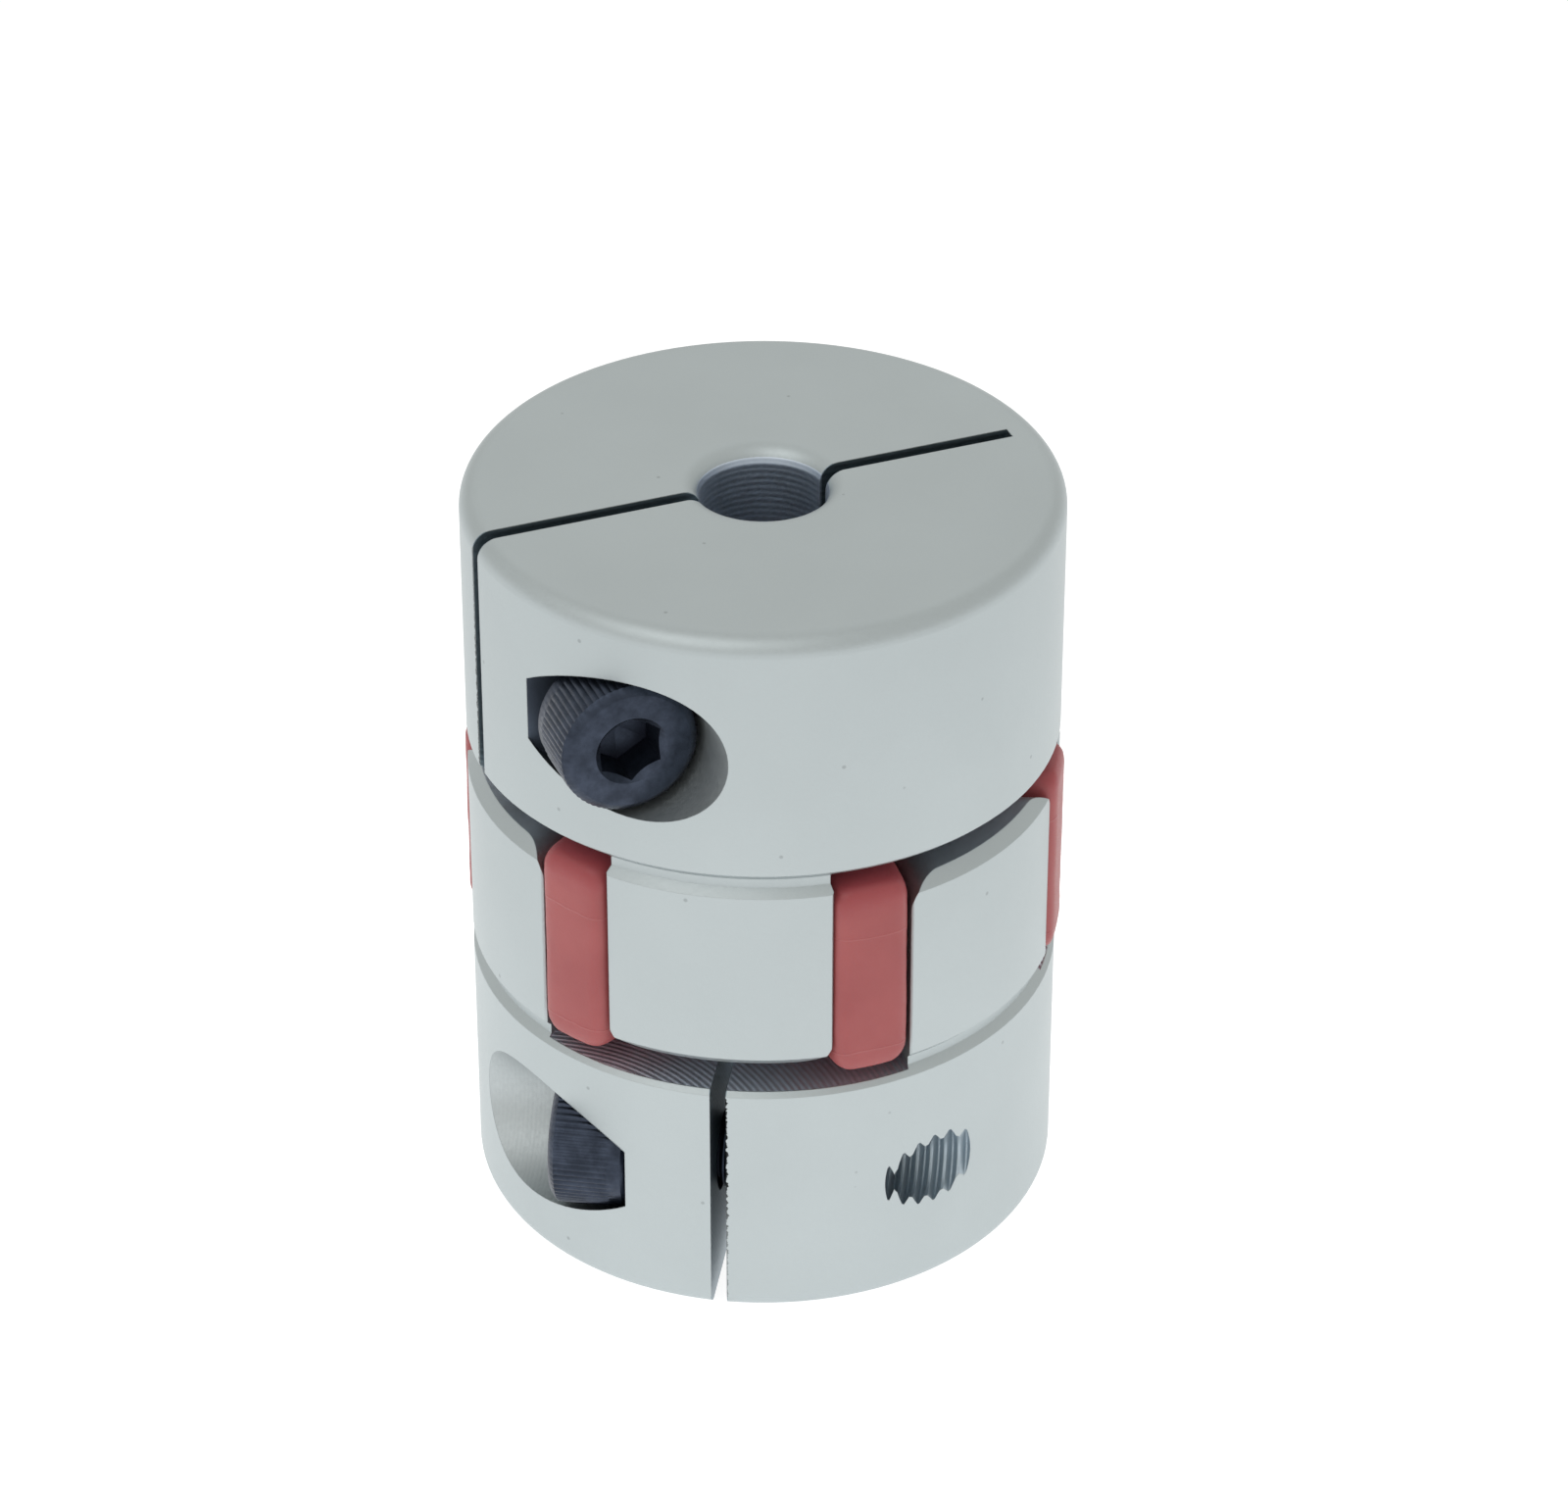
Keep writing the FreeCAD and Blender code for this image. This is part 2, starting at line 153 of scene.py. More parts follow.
# Socket head cap screw M4 x 12.
HEAD_RADIUS = 3.5 * MM
HEAD_HEIGHT = 4.0 * MM
HEAD_CHAMFER = 0.35 * MM
HEAD_EDGE = 0.15 * MM
KNURLS = 64
POINTS_PER_KNURL = 6
KNURL_DEPTH = 0.07 * MM
KNURL_START = 0.95 * MM
KNURL_SHARPNESS = 1.5
HEX_ACROSS_FLATS = 3.0 * MM
HEX_DEPTH = 2.2 * MM
HEX_COUNTERSINK = 1.82 * MM
HEX_CONE = 0.35 * MM
SHANK_LENGTH = 12.0 * MM
THREAD_MAJOR = 1.96 * MM
THREAD_MINOR = 1.56 * MM
THREAD_PITCH = 0.7 * MM
THREAD_FIRST = 0.97 * MM
THREAD_RINGS = 16
THREAD_CREST = 0.0875 * MM
THREAD_SLOPE = math.tan(math.radians(30))
TIP_CHAMFER = 0.4 * MM
STEEL_CLOUD_RANGE = (0.35, 0.65)
STEEL_COLOURS = ((0.028, 0.036, 0.054, 1.0), (0.050, 0.063, 0.093, 1.0))
# Painted shade in the screw's hollows, such as the socket and knurl grooves, found by ambient occlusion.
STEEL_PAINTED_SHADE_COLOUR = (0.022, 0.026, 0.044, 1.0)
STEEL_SHELTERED_ROUGHNESS = 0.75
STEEL_ROUGHNESS = (0.26, 0.46)
STEEL_SHELTER_REACH = 1.2 * MM
STEEL_SHELTER_RANGE = (0.45, 0.9)
STEEL_RELIEF = 0.01 * MM

# Spider: six crowned arms on a ring, with corners rounded more across the arm than outwards.
ARMS = 6
ARM_HALF_ROOT = 1.82 * MM
ROOT_SPREAD = 1.07
ARM_HALF_END = 1.94 * MM
ARM_CROWN = 0.30 * MM
ARM_CORNER = 0.36
ROOT_STEPS = 7
FLANK_STEPS = 22
CORNER_STEPS = 5
END_STEPS = 6
FINE_LEVEL = 0.12 * MM
FINE_LEVELS = 13
COARSE_LEVELS = 16
RING_OUTER = 7.15 * MM
RING_INNER = 5.2 * MM
RING_ROUND = 0.3 * MM
HOLE_POINTS = 96
SPIDER_LEAN = math.radians(-0.25)
END_ROUND_HEIGHT = 1.1 * MM
END_ROUND_ACROSS = 0.65 * MM
END_ROUND_TOP = 0.6 * MM
END_ROUND_BOTTOM = 0.3 * MM
UNEVEN_MEAN = 0.02 * MM
UNEVEN_COARSE = 0.03 * MM
COARSE_LENGTH = 2.2 * MM
UNEVEN_FINE = 0.015 * MM
FINE_LENGTH = 0.45 * MM
MOULD_LINES = (2.6, -4.2)
MOULD_LINE_WANDER = (-0.2, 0.2)
MOULD_LINE_WIDTH = 0.07
MOULD_LINE_STRENGTH = 0.25
MOULD_LINE_COLOUR = (0.50, 0.16, 0.16, 1.0)
MOULD_LINE_RELIEF = 0.02 * MM
REDS = ((0.375, 0.090, 0.092, 1.0), (0.335, 0.075, 0.078, 1.0))
# Painted shade under the upper hub: a deeper red towards the spider's top, fading in between two
# heights.
PAINTED_SHADE_RED = (0.30, 0.042, 0.052, 1.0)
PAINTED_SHADE_RED_FADE = (3.6, 5.3)
PAINTED_SHADE_RED_STRENGTH = 0.7
RED_ROUGHNESS = (0.38, 0.52)
RED_RELIEF = 0.006 * MM

# The usual range of a noise node's values, and the corner angles above which each mesh stays sharp.
NOISE_RANGE = (0.3, 0.7)
SCREW_SHARP_ANGLE = math.radians(25)
STAR_SHARP_ANGLE = math.radians(50)


# ---------------------------------------------------------------- shader nodes

class Shader:
    """A material with one Principled shader, and short calls for the nodes that drive it."""

    def __init__(self, name, **constants):
        self.material = bpy.data.materials.new(name)
        self.material.use_nodes = True
        self.tree = self.material.node_tree
        self.surface = self.tree.nodes["Principled BSDF"]
        for socket, value in constants.items():
            self.surface.inputs[socket.replace("_", " ")].default_value = value

    def node(self, kind, inputs=None, **settings):
        made = self.tree.nodes.new("ShaderNode" + kind)
        for setting, value in settings.items():
            setattr(made, setting, value)
        for socket, value in (inputs or {}).items():
            self.feed(made.inputs[socket], value)
        return made

    def feed(self, socket, value):
        if isinstance(value, bpy.types.NodeSocket):
            self.tree.links.new(value, socket)
        else:
            socket.default_value = value

    def drive(self, socket, value):
        self.tree.links.new(value, self.surface.inputs[socket])

    def math(self, operation, *values):
        return self.node("Math", dict(enumerate(values)), operation=operation).outputs[0]

    def plus(self, first, second):
        return self.math("ADD", first, second)

    def minus(self, first, second):
        return self.math("SUBTRACT", first, second)

    def times(self, first, second):
        return self.math("MULTIPLY", first, second)

    def below(self, value, limit):
        return self.math("LESS_THAN", value, limit)

    def above(self, value, limit):
        return self.math("GREATER_THAN", value, limit)

    def both(self, *masks):
        result = masks[0]
        for mask in masks[1:]:
            result = self.times(result, mask)
        return result

    def either(self, *masks):
        result = masks[0]
        for mask in masks[1:]:
            result = self.math("MAXIMUM", result, mask)
        return result

    def distance(self, first, second):
        """The length of a line that runs this far along each of two axes."""
        squares = self.plus(self.times(first, first), self.times(second, second))
        return self.math("SQRT", squares)

    def mix(self, mask, first, second):
        """first where the mask is 0, second where it is 1: numbers."""
        mixed = self.node("Mix", data_type="FLOAT")
        for place, value in ((0, mask), (2, first), (3, second)):
            self.feed(mixed.inputs[place], value)
        return mixed.outputs[0]

    def blend(self, mask, first, second):
        """first where the mask is 0, second where it is 1: colours."""
        mixed = self.node("Mix", data_type="RGBA")
        for place, value in ((0, mask), (6, first), (7, second)):
            self.feed(mixed.inputs[place], value)
        return mixed.outputs[2]

    def millimetres(self, turn=(0.0, 0.0, 0.0)):
        """The object's own coordinates in millimetres, turned about the origin."""
        place = self.node("TexCoord").outputs["Object"]
        inputs = {"Vector": place, "Rotation": turn, "Scale": (1 / MM,) * 3}
        return self.node("Mapping", inputs, vector_type="POINT").outputs["Vector"]

    def noise(self, vector, scale, detail=2.0, roughness=0.5):
        inputs = {"Vector": vector, "Scale": scale, "Detail": detail, "Roughness": roughness}
        return self.node("TexNoise", inputs).outputs["Fac"]

    def spread(self, value, low, high, to_low=0.0, to_high=1.0):
        """The value's range from low to high, stretched over another and held at its ends."""
        ends = {"From Min": low, "From Max": high, "To Min": to_low, "To Max": to_high}
        return self.node("MapRange", {"Value": value, **ends}).outputs["Result"]

    def vary(self, noise, to_low=0.0, to_high=1.0):
        """A noise stretched over a range."""
        return self.spread(noise, *NOISE_RANGE, to_low, to_high)

    def wave(self, value, pitch):
        """Ridges from -1 to 1, one pitch apart."""
        return self.math("SINE", self.times(value, math.tau / pitch))

    def bump(self, height, distance, normal=None):
        inputs = {"Height": height, "Distance": distance}
        if normal is not None:
            inputs["Normal"] = normal
        return self.node("Bump", inputs).outputs["Normal"]


def grey_blue(value, tint=0.09):
    """A grey with a little less red and slightly more blue."""
    return (value * (1 - tint), value, value * (1 + 0.25 * tint), 1.0)


def hub_material(side):
    """Blasted and anodised outside, bare tool-marked metal where the hub was cut afterwards."""
    look = Shader("aluminium_" + side, Metallic=1.0)
    place = look.millimetres(HUB_TURNS[side])
    parts = look.node("SeparateXYZ", {"Vector": place}).outputs
    x, y, z = parts["X"], parts["Y"], parts["Z"]
    from_axis = look.distance(x, y)
    from_screw = look.distance(look.minus(x, SCREW_OFFSET), look.minus(z, SCREW_HEIGHT))
    outside = look.above(from_axis, HUB_RADIUS - SKIN_MARGIN)

    # Masks of the surfaces that were cut after blasting.
    bore = look.below(from_axis, BORE_RADIUS + BORE_MARGIN)
    slit = look.both(
        look.below(look.math("ABSOLUTE", y), SLIT_HALF_WIDTH + SLIT_MARGIN),
        look.below(from_axis, HUB_RADIUS - SLIT_END_MARGIN),
        look.below(z, HALF_LENGTH - SLIT_END_MARGIN),
        look.above(z, FACE_HEIGHT - SLIT_END_MARGIN),
        look.above(x, -SLIT_REACH - SLIT_END_MARGIN),
    )
    face = look.both(
        look.below(look.math("ABSOLUTE", look.minus(z, FACE_HEIGHT)), FACE_MARGIN),
        look.below(from_axis, HUB_RADIUS - FACE_EDGE),
    )
    pocket = look.both(
        look.below(from_screw, POCKET_RADIUS + POCKET_MARGIN),
        look.above(y, SEAT_DISTANCE - SEAT_MARGIN),
    )
    hole = look.below(from_screw, CLEARANCE_RADIUS + HOLE_MARGIN)
    drilled = look.both(look.either(pocket, hole), look.minus(1.0, outside))
    machined = look.either(bore, slit, face, drilled)

    # Torn edge left by the slitting saw along one side of the slit, coloured as painted shade of a gap.
    up_only = look.node("CombineXYZ", {"Z": z}).outputs["Vector"]
    raggedness = look.noise(up_only, scale=2.6, detail=3.0, roughness=0.7)
    torn_by = look.spread(raggedness, low=0.42, high=0.72, to_high=TORN_WIDTH)
    past_middle = look.times(y, -1.0)
    torn = look.both(
        look.below(past_middle, look.plus(torn_by, SLIT_HALF_WIDTH)),
        look.above(past_middle, SLIT_HALF_WIDTH),
        look.above(x, 0.0),
        look.above(z, FACE_HEIGHT + FACE_EDGE),
        outside,
    )

    # Colour: a slow drift, grain and a few specks outside, bare metal where it was machined,
    # painted shade along the torn edge, in the slit and near the screw's seat.
    drift = look.noise(place, scale=0.12, detail=3.0)
    grain = look.noise(place, scale=5.0, detail=4.0, roughness=0.7)
    unevenness = look.plus(look.vary(drift, *SKIN_DRIFT), look.vary(grain, *SKIN_GRAIN))
    skin = look.blend(look.plus(0.5, unevenness), *map(grey_blue, SKIN_GREYS))
    specks = look.node("TexVoronoi", {"Vector": place, "Scale": SPECK_SCALE}, feature="F1")
    on_speck = look.spread(specks.outputs["Distance"], *SPECK_EDGE, SPECK_STRENGTH, 0.0)
    skin = look.blend(on_speck, skin, grey_blue(SPECK_GREY))
    # Painted shade along the torn edge: near black, greying towards the hub's end.
    skin = look.blend(torn, skin, look.blend(look.spread(z, *TORN_GAP_SHADE_FADE), *map(grey_blue, TORN_GAP_SHADE_GREYS)))
    # Painted shade: the pocket's wall darkens towards the screw's seat.
    shaded_pocket_wall = look.blend(look.spread(y, *POCKET_SHADE_FADE), POCKET_SHADE_COLOUR, POCKET_COLOUR)
    cut_for_screw = look.blend(look.below(y, 0.0), shaded_pocket_wall, THREAD_COLOUR)
    # Painted shade: the slit's walls take a dark colour.
    metal = look.blend(drilled, SLIT_SHADE_COLOUR, cut_for_screw)
    metal = look.blend(bore, metal, BORE_COLOUR)
    metal = look.blend(face, metal, FACE_COLOUR)
    look.drive("Base Color", look.blend(machined, skin, metal))
    rough_turned = look.vary(grain, *TURNED_ROUGHNESS)
    rough_milled = look.vary(grain, *MILLED_ROUGHNESS)
    rough_metal = look.mix(look.either(drilled, face), rough_turned, rough_milled)
    look.drive("Roughness", look.mix(machined, look.vary(grain, *SKIN_ROUGHNESS), rough_metal))

    # Relief: blasted grain outside, turned rings in the bore, slit and screw holes, arcs on the face.
    blasted = look.times(grain, look.minus(1.0, machined))
    turned = look.both(look.wave(z, TURNING_PITCH), look.either(bore, slit))
    bored = look.both(look.wave(y, DRILLING_PITCH), drilled)
    sweep = look.distance(look.minus(x, MILLING_CENTRE[0]), look.minus(y, MILLING_CENTRE[1]))
    swept = look.both(look.wave(sweep, MILLING_PITCH), face)
    marks = look.plus(look.times(bored, DRILLING_DEPTH), look.times(swept, MILLING_DEPTH))
    marks = look.plus(look.times(turned, TURNING_DEPTH), marks)
    edges = look.node("Bevel", {"Radius": EDGE_RADIUS}, samples=4).outputs["Normal"]
    look.drive("Normal", look.bump(marks, MARK_RELIEF, look.bump(blasted, GRAIN_RELIEF, edges)))
    return look.material


def elastomer_material():
    """Red moulded polyurethane, with two fine mould lines round it and painted shade as a deeper red
    near its top.
    """
    look = Shader(
        "elastomer_red",
        Specular_IOR_Level=0.42,
        Subsurface_Weight=0.12,
        Subsurface_Scale=0.6 * MM,
    )
    place = look.millimetres()
    cloud = look.noise(place, scale=0.35, detail=3.0)
    grain = look.noise(place, scale=9.0, detail=3.0, roughness=0.6)
    z = look.node("SeparateXYZ", {"Vector": place}).outputs["Z"]
    wandering = look.plus(z, look.spread(cloud, 0, 1, *MOULD_LINE_WANDER))
    lines = 0.0
    for line in MOULD_LINES:
        away = look.math("ABSOLUTE", look.minus(wandering, line))
        lines = look.math("MAXIMUM", lines, look.spread(away, 0.0, MOULD_LINE_WIDTH, 1.0, 0.0))
    red = look.blend(look.vary(cloud), *REDS)
    # Painted shade: the red deepens towards the top, under the upper hub.
    red = look.blend(look.spread(z, *PAINTED_SHADE_RED_FADE, to_high=PAINTED_SHADE_RED_STRENGTH), red, PAINTED_SHADE_RED)
    look.drive("Base Color", look.blend(look.times(lines, MOULD_LINE_STRENGTH), red, MOULD_LINE_COLOUR))
    look.drive("Roughness", look.vary(grain, *RED_ROUGHNESS))
    look.drive("Normal", look.bump(lines, MOULD_LINE_RELIEF, look.bump(grain, RED_RELIEF)))
    return look.material


def screw_material():
    """Black oxide on steel, clouded outside, rougher and darkened with painted shade where it is
    sheltered, as in the socket.
    """
    look = Shader("steel_black_oxide", Metallic=0.85)
    place = look.millimetres()
    cloud = look.noise(place, scale=1.1, detail=4.0, roughness=0.6)
    grain = look.noise(place, scale=7.0, detail=4.0, roughness=0.7)
    clouded = look.blend(look.spread(cloud, *STEEL_CLOUD_RANGE), *STEEL_COLOURS)
    reach = {"Distance": STEEL_SHELTER_REACH}
    openness = look.node("AmbientOcclusion", reach, samples=8, only_local=True).outputs["AO"]
    open_air = look.spread(openness, *STEEL_SHELTER_RANGE)
    # Painted shade: the colour darkens where ambient occlusion finds the steel sheltered.
    look.drive("Base Color", look.blend(open_air, STEEL_PAINTED_SHADE_COLOUR, clouded))
    rough = look.vary(grain, *STEEL_ROUGHNESS)
    look.drive("Roughness", look.mix(open_air, STEEL_SHELTERED_ROUGHNESS, rough))
    look.drive("Normal", look.bump(grain, STEEL_RELIEF))
    return look.material


def floor_material():
    """Pale, and glowing a little brighter round the coupling: a painted pool of light."""
    look = Shader("pale_floor", Roughness=0.6, Emission_Color=(1.0, 1.0, 1.0, 1.0))
    place = look.millimetres()
    parts = look.node("SeparateXYZ", {"Vector": place}).outputs
    look.drive("Base Color", look.blend(look.noise(place, scale=0.02), *FLOOR_COLOURS))
    from_centre = look.distance(parts["X"], parts["Y"])
    # Painted light: the floor glows, most strongly near the coupling.
    look.drive("Emission Strength", look.spread(from_centre, *FLOOR_PAINTED_GLOW_FADE, *FLOOR_PAINTED_GLOW))
    return look.material


# ---------------------------------------------------------------- meshes

def polar(radius, angle, *height):
    """A point this far from the axis at this angle: flat, or at a height if one is given."""
    return (radius * math.cos(angle), radius * math.sin(angle), *height)


def new_piece(name, build, material, sharp_angle):
    """An object from a BMesh, smooth except where faces meet at more than the angle given."""
    mesh = bpy.data.meshes.new(name)
    bmesh.ops.recalc_face_normals(build, faces=build.faces)
    build.to_mesh(mesh)
    build.free()
    mesh.materials.append(material)
    mesh.shade_smooth()
    mesh.set_sharp_from_angle(angle=sharp_angle)
    piece = bpy.data.objects.new(name, mesh)
    bpy.context.scene.collection.objects.link(piece)
    return piece


def add_loop(build, points):
    """The points as vertices, in order round a closed loop."""
    return [build.verts.new(point) for point in points]


def join_loops(build, first, second):
    """A band of four-sided faces between two loops with as many points each."""
    count = len(first)
    for i in range(count):
        following = (i + 1) % count
        build.faces.new((first[i], first[following], second[following], second[i]))


def close_loop(build, loop, centre):
    """A fan of triangles from the loop to one point."""
    middle = build.verts.new(centre)
    for i, vertex in enumerate(loop):
        build.faces.new((vertex, loop[(i + 1) % len(loop)], middle))


def fill_between(build, *loops):
    """A flat face, as triangles, between an outer loop and the loops inside it."""
    edges = [build.edges.get(ends) for loop in loops for ends in zip(loop, loop[1:] + loop[:1])]
    bmesh.ops.triangle_fill(build, use_beauty=True, edges=edges)


def thread_profile():
    """(radius, height) down the shank, from the seat to the tip."""
    mouth_half = (THREAD_PITCH - THREAD_CREST) / 2
    floor_half = mouth_half - (THREAD_MAJOR - THREAD_MINOR) * THREAD_SLOPE
    profile = [(THREAD_MAJOR, 0.0)]
    for ring in range(THREAD_RINGS):
        middle = -THREAD_FIRST - ring * THREAD_PITCH
        profile += [
            (THREAD_MAJOR, middle + mouth_half),
            (THREAD_MINOR, middle + floor_half),
            (THREAD_MINOR, middle - floor_half),
        ]
        if middle - mouth_half > TIP_CHAMFER - SHANK_LENGTH:
            profile.append((THREAD_MAJOR, middle - mouth_half))
    profile.append((THREAD_MAJOR - TIP_CHAMFER, -SHANK_LENGTH))
    return profile


def knurled(angle, depth):
    """How much the grooves that run along the head take off its radius at this angle."""
    phase = (angle * KNURLS / math.tau) % 1.0
    return depth * (1 - abs(2 * phase - 1)) ** KNURL_SHARPNESS


def make_screw(side, material):
    """A knurled cap screw, made with its seat at the origin and its head at +Z, then put in place."""
    build = bmesh.new()
    count = KNURLS * POINTS_PER_KNURL
    angles = [math.tau * i / count for i in range(count)]

    def ring(radius, height, depth=0.0):
        """A circle, or the outline of the knurling where it has a depth."""
        points = [polar(radius - knurled(angle, depth), angle, height) for angle in angles]
        return add_loop(build, points)

    def hexagon(height, share=1.0, slope=0.0):
        """The socket's outline, level or, with a slope, on the cone of its countersink."""
        points = []
        for angle in angles:
            from_flat = (angle + math.pi / 6) % (math.pi / 3) - math.pi / 6
            radius = HEX_ACROSS_FLATS / 2 / math.cos(from_flat)
            rise = slope * (radius - HEX_COUNTERSINK)
            points.append(polar(share * radius, angle, height + rise))
        return add_loop(build, points)

    # From the tip up: the thread, then the head's broken edge, plain band, knurling, chamfer and socket.
    knurl_top = HEAD_HEIGHT - HEAD_CHAMFER
    socket_floor = HEAD_HEIGHT - HEX_DEPTH
    loops = [ring(radius, height) for radius, height in reversed(thread_profile())]
    loops += [
        ring(HEAD_RADIUS - 2 * HEAD_EDGE - KNURL_DEPTH, 0.0),
        ring(HEAD_RADIUS - HEAD_EDGE - KNURL_DEPTH, 0.3 * HEAD_EDGE),
        ring(HEAD_RADIUS - KNURL_DEPTH, 1.5 * HEAD_EDGE),
        ring(HEAD_RADIUS - KNURL_DEPTH, KNURL_START - HEAD_EDGE),
        ring(HEAD_RADIUS, KNURL_START, KNURL_DEPTH),
        ring(HEAD_RADIUS, knurl_top - 2 * HEAD_EDGE, KNURL_DEPTH),
        ring(HEAD_RADIUS - KNURL_DEPTH / 2, knurl_top, KNURL_DEPTH / 2),
        ring(HEAD_RADIUS - HEAD_EDGE - KNURL_DEPTH / 2, knurl_top + HEAD_EDGE),
        ring(HEAD_RADIUS - HEAD_CHAMFER - KNURL_DEPTH, HEAD_HEIGHT - 0.2 * HEAD_EDGE),
        ring(HEAD_RADIUS - HEAD_CHAMFER - 2 * KNURL_DEPTH, HEAD_HEIGHT),
        ring(HEX_COUNTERSINK, HEAD_HEIGHT),
        hexagon(HEAD_HEIGHT, slope=1.0),
        hexagon(socket_floor),
        hexagon(socket_floor - HEX_CONE / 2, share=0.5),
    ]
    for first, second in zip(loops, loops[1:]):
        join_loops(build, first, second)
    close_loop(build, loops[0], (0.0, 0.0, -SHANK_LENGTH))
    close_loop(build, loops[-1], (0.0, 0.0, socket_floor - HEX_CONE))

    joint = JOINTS[side + "_screw_turn"]
    facing = Vector(joint["axis"]).to_track_quat("Z", "Y").to_matrix().to_4x4()
    bmesh.ops.transform(build, matrix=Matrix.Translation(joint["pos_m"]) @ facing, verts=build.verts)
    piece = new_piece(side + "_cap_screw", build, material, SCREW_SHARP_ANGLE)
    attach(piece, side + "_screw")
    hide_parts(side + "_clamp_screw")


def arc_points(radius, start, end, count):
    """count points on an arc about the axis, its start left out."""
    shares = [(step + 1) / count for step in range(count)]
    return [Vector(polar(radius, start + (end - start) * share)) for share in shares]


def arm_outline(radius):
    """One sixth of the star's outline, counter-clockwise, for the arm along +X.

    Gives (point, on_end, on_arm): on_end is 1 on the arm's outer end and falls to 0 along its flanks,
    and on_arm is 1 all round the arm and 0 on the ring.
    """
    end_angle = math.asin(ARM_HALF_END / radius)
    root_angle = math.asin(ARM_HALF_ROOT / RING_OUTER)
    outer = Vector((radius * math.cos(end_angle), -ARM_HALF_END))
    inner = Vector((RING_OUTER * math.cos(root_angle), -ARM_HALF_ROOT))
    ring_arc = arc_points(RING_OUTER, -math.pi / ARMS, -ROOT_SPREAD * root_angle, ROOT_STEPS)
    half = [(point, 0.0, 0.0) for point in ring_arc]
    for step in range(1, FLANK_STEPS - 1):
        along = step / FLANK_STEPS
        point = inner.lerp(outer, along)
        point.y -= ARM_CROWN * 4 * along * (1 - along)
        half.append((point, max(0.0, 2 * along - 1), 1.0))
    before = half[-1][0]
    corner_angle = end_angle * (1 - ARM_CORNER)
    after = Vector(polar(radius, -corner_angle))
    for step in range(1, CORNER_STEPS + 1):
        along = step / CORNER_STEPS
        left = 1 - along
        half.append((before * left ** 2 + outer * 2 * along * left + after * along ** 2, 1.0, 1.0))
    half += [(point, 1.0, 1.0) for point in arc_points(radius, -corner_angle, 0.0, END_STEPS)]
    mirrored = [
        (Vector((point.x, -point.y)), on_end, on_arm)
        for point, on_end, on_arm in reversed(half[:-1])
    ]
    return half + mirrored


def star_levels(half_height):
    """Heights up the star from its middle, top first, close together near its ends."""
    fine = [half_height - FINE_LEVEL * level for level in range(FINE_LEVELS)]
    reach = fine[-1]
    coarse = [reach - 2 * reach * level / COARSE_LEVELS for level in range(1, COARSE_LEVELS)]
    return fine + coarse + [-z for z in reversed(fine)]


def make_spider(material):
    """The elastomer star, slightly uneven as moulded, with rounded arm ends."""
    low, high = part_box("spider")
    half_height = (high.z - low.z) / 2
    middle = (high.z + low.z) / 2
    sixth = arm_outline(high.x)
    turns = [Matrix.Rotation(math.tau * arm / ARMS + SPIDER_LEAN, 2) for arm in range(ARMS)]

    def star_loop(build, height):
        """The star's outline at this height from its middle, drawn in where its ends are rounded."""
        into_end = max(0.0, 1 - (half_height - abs(height)) / END_ROUND_HEIGHT)
        rounding = 1 - math.sqrt(1 - into_end ** 2)
        outwards = END_ROUND_TOP if height > 0 else END_ROUND_BOTTOM
        points = []
        for turn in turns:
            for point, on_end, on_arm in sixth:
                spot = Vector((*(turn @ point), height))
                coarse = UNEVEN_COARSE * noise.noise(spot / COARSE_LENGTH)
                fine = UNEVEN_FINE * noise.noise(spot / FINE_LENGTH)
                uneven = max(0.0, UNEVEN_MEAN + coarse + fine)
                across = on_arm * (END_ROUND_ACROSS * rounding + uneven) / ARM_HALF_END
                inwards = rounding * (outwards * on_end + RING_ROUND * (1 - on_arm)) + uneven * on_end
                shrunk = Vector((point.x, point.y * (1 - across))) - point.normalized() * inwards
                placed = turn @ shrunk
                points.append((placed.x, placed.y, middle + height))
        return add_loop(build, points)

    def hole_loop(build, radius, height):
        angles = [math.tau * i / HOLE_POINTS for i in range(HOLE_POINTS)]
        return add_loop(build, [polar(radius, angle, middle + height) for angle in angles])

    build = bmesh.new()
    wall = [star_loop(build, height) for height in star_levels(half_height)]
    hole = [
        hole_loop(build, RING_INNER + RING_ROUND, half_height),
        hole_loop(build, RING_INNER, half_height - RING_ROUND),
        hole_loop(build, RING_INNER, RING_ROUND - half_height),
        hole_loop(build, RING_INNER + RING_ROUND, -half_height),
    ]
    for loops in (wall, hole):
        for first, second in zip(loops, loops[1:]):
            join_loops(build, first, second)
    fill_between(build, wall[0], hole[0])
    fill_between(build, wall[-1], hole[-1])
    piece = new_piece("elastomer_star", build, material, STAR_SHARP_ANGLE)
    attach(piece, "spider")
    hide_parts("spider")


# ---------------------------------------------------------------- stage

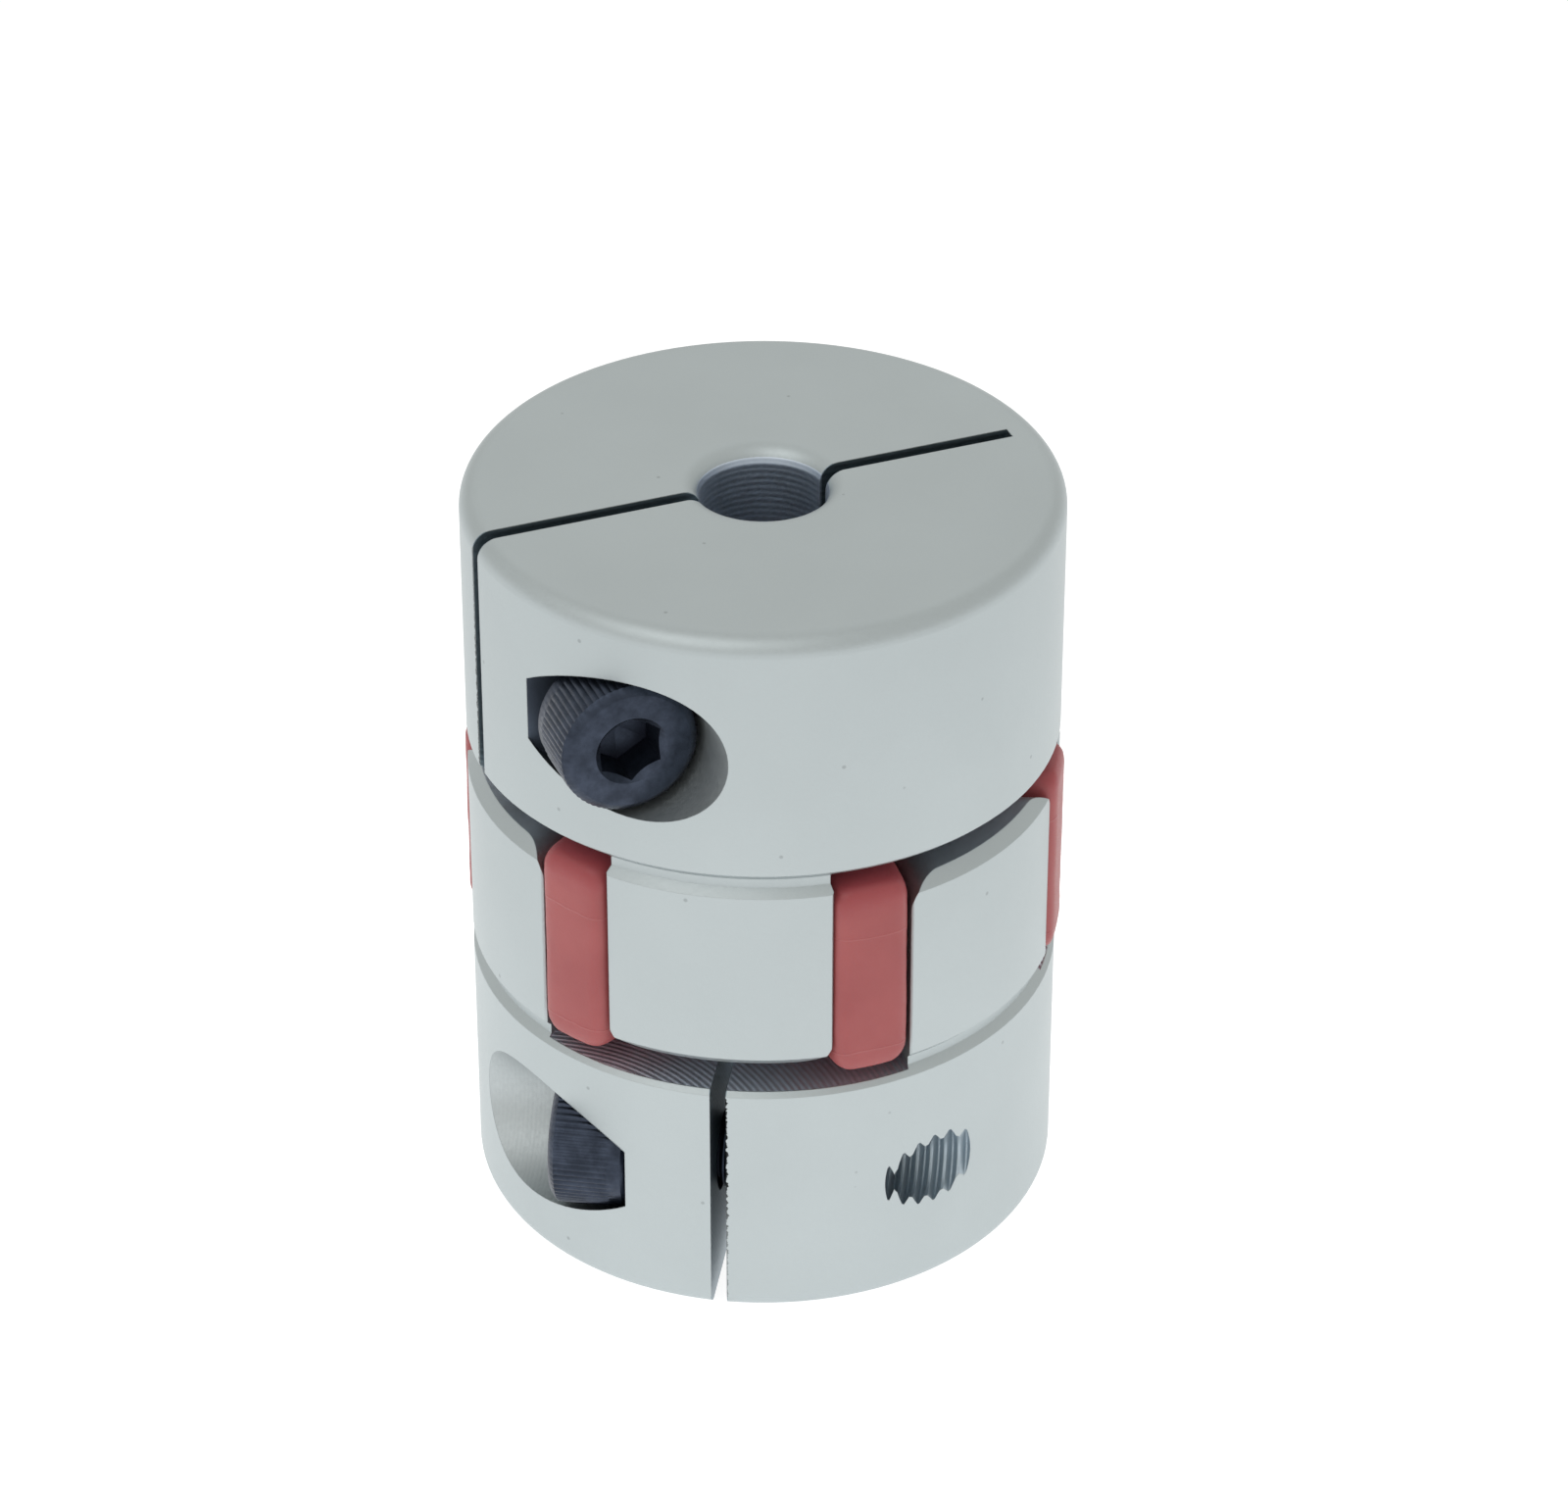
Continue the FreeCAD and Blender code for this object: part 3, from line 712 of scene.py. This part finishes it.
def towards(azimuth, elevation):
    """A unit vector from the coupling; azimuth 0 is the camera's side, and it grows to the right."""
    turn = CAMERA_AZIMUTH - math.pi / 2 + math.radians(azimuth)
    rise = math.radians(elevation)
    return Vector((math.cos(turn) * math.cos(rise), math.sin(turn) * math.cos(rise), math.sin(rise)))


def add_camera():
    data = bpy.data.cameras.new("camera")
    data.lens = CAMERA_LENS
    data.clip_start = CAMERA_CLIP
    camera = bpy.data.objects.new("camera", data)
    bpy.context.scene.collection.objects.link(camera)
    turned = Matrix.Rotation(CAMERA_AZIMUTH, 4, "Z")
    tilted = Matrix.Rotation(math.pi / 2 - CAMERA_ELEVATION, 4, "X")
    moved_back = Matrix.Translation((CAMERA_RIGHT, CAMERA_UP, CAMERA_DISTANCE))
    camera.matrix_world = turned @ tilted @ moved_back
    bpy.context.scene.camera = camera


def add_softbox(name, azimuth, elevation, power):
    """A square white lamp that faces the coupling, its power in watts."""
    data = bpy.data.lights.new(name, "AREA")
    data.shape = "SQUARE"
    data.size = SOFTBOX_SIDE
    data.energy = power
    light = bpy.data.objects.new(name, data)
    bpy.context.scene.collection.objects.link(light)
    direction = towards(azimuth, elevation)
    facing = direction.to_track_quat("Z", "Y").to_matrix().to_4x4()
    light.matrix_world = Matrix.Translation(direction * SOFTBOX_DISTANCE) @ facing


def add_floor(height):
    build = bmesh.new()
    corners = [(-1, -1), (1, -1), (1, 1), (-1, 1)]
    build.faces.new(add_loop(build, [(x * FLOOR_HALF, y * FLOOR_HALF, height) for x, y in corners]))
    floor = new_piece("floor", build, floor_material(), math.pi)


def light_world():
    world = bpy.data.worlds.new("studio")
    world.use_nodes = True
    background = world.node_tree.nodes["Background"].inputs
    background["Color"].default_value = WORLD_LIGHT
    background["Strength"].default_value = 1.0
    bpy.context.scene.world = world


add_camera()
for side in SIDES:
    aluminium = hub_material(side)
    for slot in frame["nodes"][side + "_hub"].material_slots:
        slot.material = aluminium
steel = screw_material()
for side in SIDES:
    make_screw(side, steel)
make_spider(elastomer_material())

add_floor(cad_box[0].z)
light_world()
add_softbox("key", azimuth=-35, elevation=48, power=4.0)
add_softbox("back", azimuth=180, elevation=42, power=0.8)
bpy.context.scene.view_settings.view_transform = "Standard"
